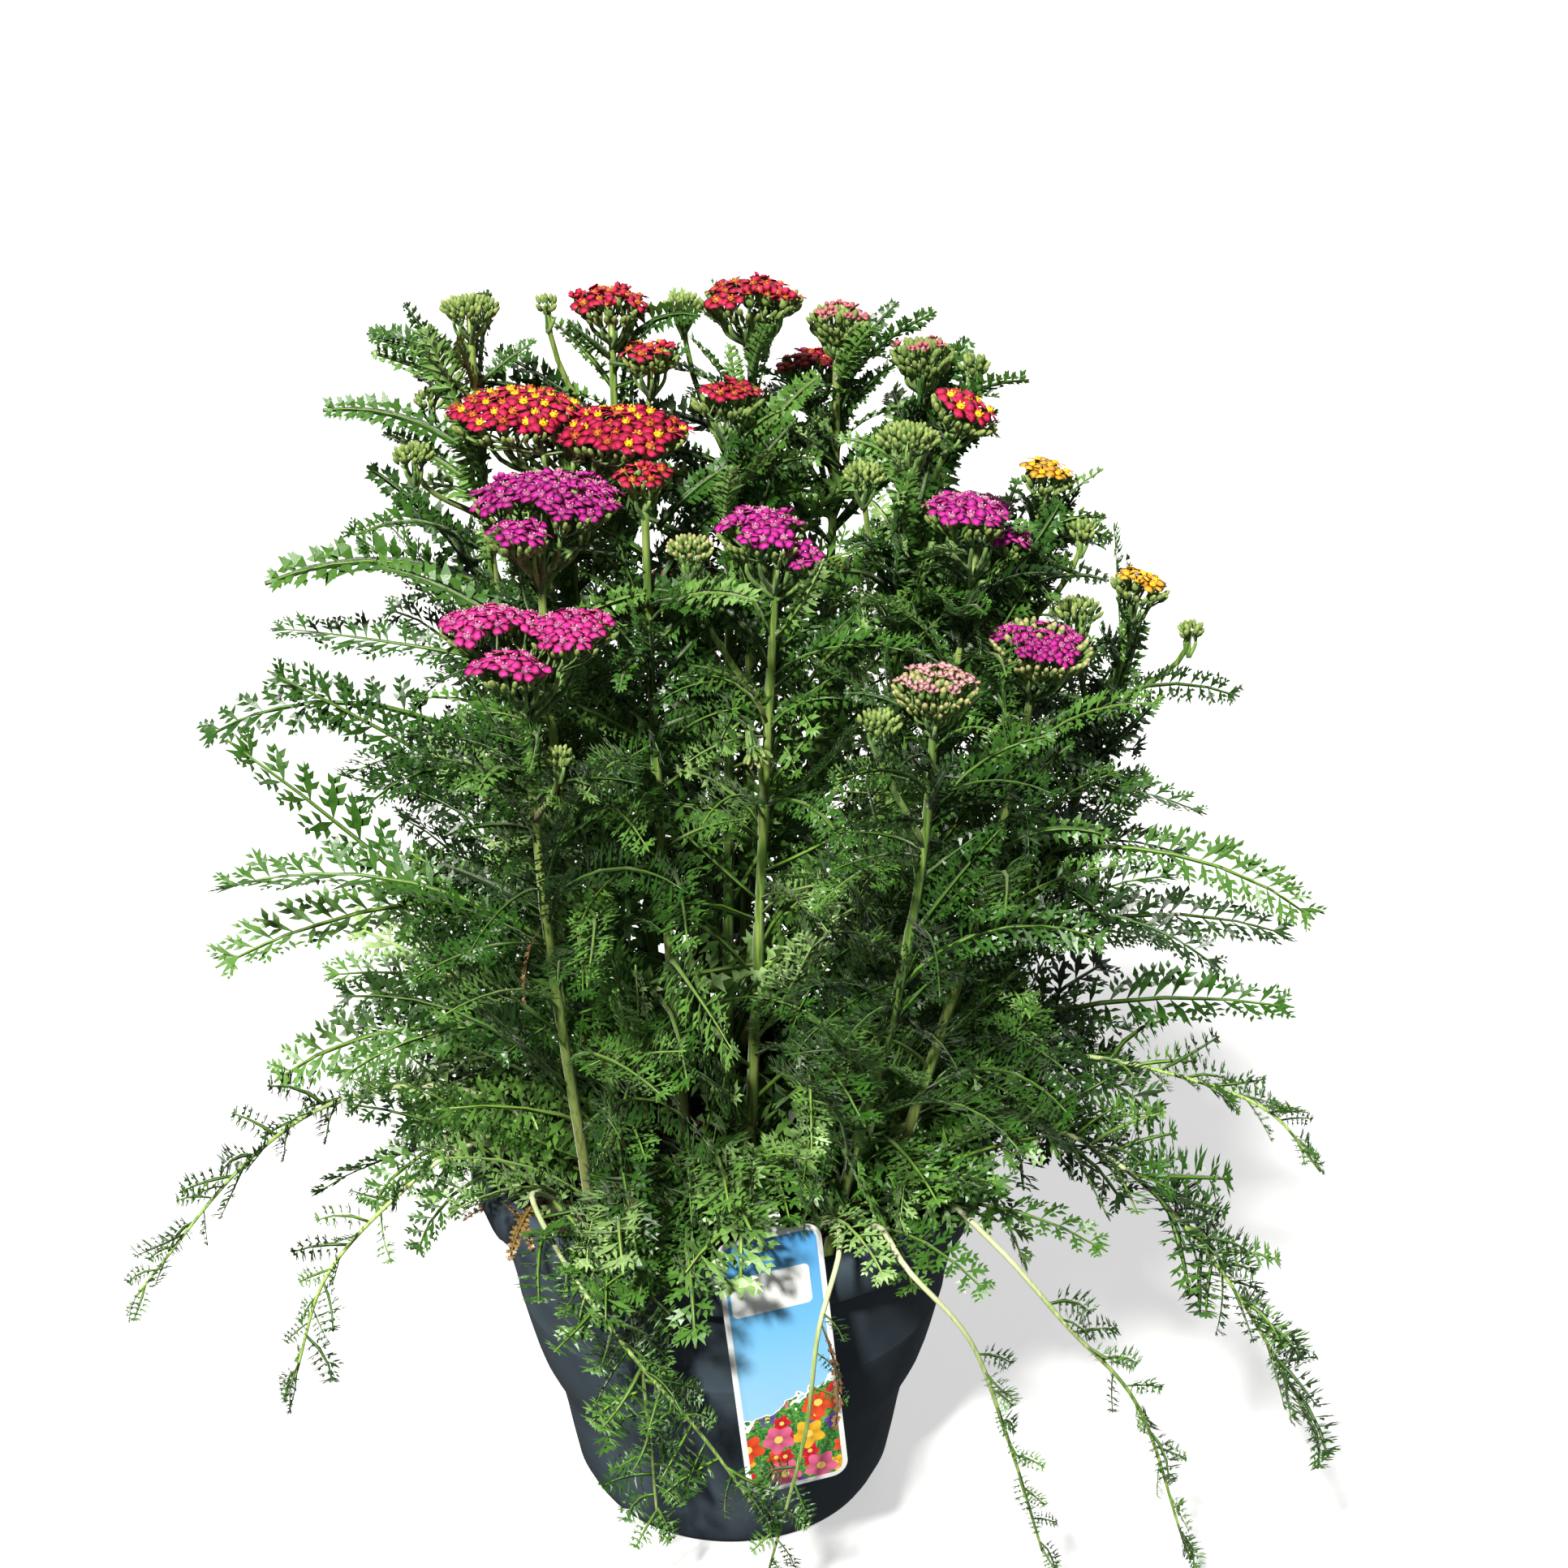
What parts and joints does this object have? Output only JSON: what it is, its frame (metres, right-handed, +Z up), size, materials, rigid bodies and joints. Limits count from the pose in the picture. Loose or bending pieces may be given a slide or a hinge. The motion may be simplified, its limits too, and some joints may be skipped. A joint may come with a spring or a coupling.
{
  "type": "potted yarrow plant",
  "caption": "Bushy yarrow in a round plastic pot: flat flower heads in red, magenta, pink and orange above ferny leaves, thin runners hanging over the rim and a picture label.",
  "frame": {"origin": "centre of the pot's flat underside", "axes": "+Z up through the plant, -Y towards the side where the label hangs, +X to the right of a viewer who faces the label"},
  "size_m": [0.4052, 0.3234, 0.4578],
  "materials": {
    "pot_plastic": "satin moulded plastic with dust and scuffs",
    "compost": "moist bark compost",
    "label_plastic": "printed glossy sheet plastic",
    "foliage": "satin leaf with a grey bloom",
    "petals_red": "velvety petals with yellow centres",
    "petals_magenta": "velvety petals with pale centres",
    "petals_pink": "velvety petals, half open",
    "petals_pale": "velvety petals, half open",
    "petals_orange": "velvety petals with yellow centres"
  },
  "bodies": {
    "root": {"pot": "pot_plastic", "soil": "compost", "label": "label_plastic", "stem_left_rear": "foliage", "stem_summit": "foliage", "stem_right_rear": "foliage", "stem_right_high": "foliage", "stem_budded": "foliage", "stem_orange_high": "foliage", "stem_orange_low": "foliage", "stem_magenta_right": "foliage", "stem_pink_low": "foliage", "stem_pale": "foliage", "stem_magenta_middle": "foliage", "stem_red_middle": "foliage", "stem_red_small": "foliage", "stem_gold_red_twin": "foliage", "stem_magenta_left": "foliage", "stem_magenta_low": "foliage", "stem_budded_left": "foliage", "stem_back_left": "foliage", "stem_back_middle": "foliage", "stem_back_orange": "foliage", "stem_back_right": "foliage", "stem_back_high": "foliage", "head_red_left_rear": "petals_red", "head_red_left_small": "petals_red", "head_red_summit": "petals_red", "head_pink_rear": "petals_pink", "head_red_rear": "petals_red", "head_pink_right": "petals_pink", "head_gold_red_right": "petals_red", "head_orange_high": "petals_orange", "head_orange_low": "petals_orange", "head_pink_low": "petals_pink", "head_pale": "petals_pale", "head_red_middle": "petals_red", "head_red_small": "petals_red", "head_magenta_back_left": "petals_magenta", "head_red_back": "petals_red", "head_orange_back": "petals_orange", "head_magenta_back_right": "petals_magenta", "head_red_back_high": "petals_red", "head_magenta_right": "petals_magenta", "head_magenta_middle": "petals_magenta", "head_gold_red_twin": "petals_red", "head_magenta_left": "petals_magenta", "head_magenta_low": "petals_magenta", "runner_left_high": "foliage", "runner_left_low": "foliage", "runner_front_left": "foliage", "runner_front": "foliage", "runner_label": "foliage", "runner_front_right": "foliage", "runner_right_low": "foliage", "runner_right_high": "foliage", "runner_right_long": "foliage", "tuft_front": "foliage", "tuft_back_left": "foliage", "tuft_back_right": "foliage"}
  },
  "joints": []
}
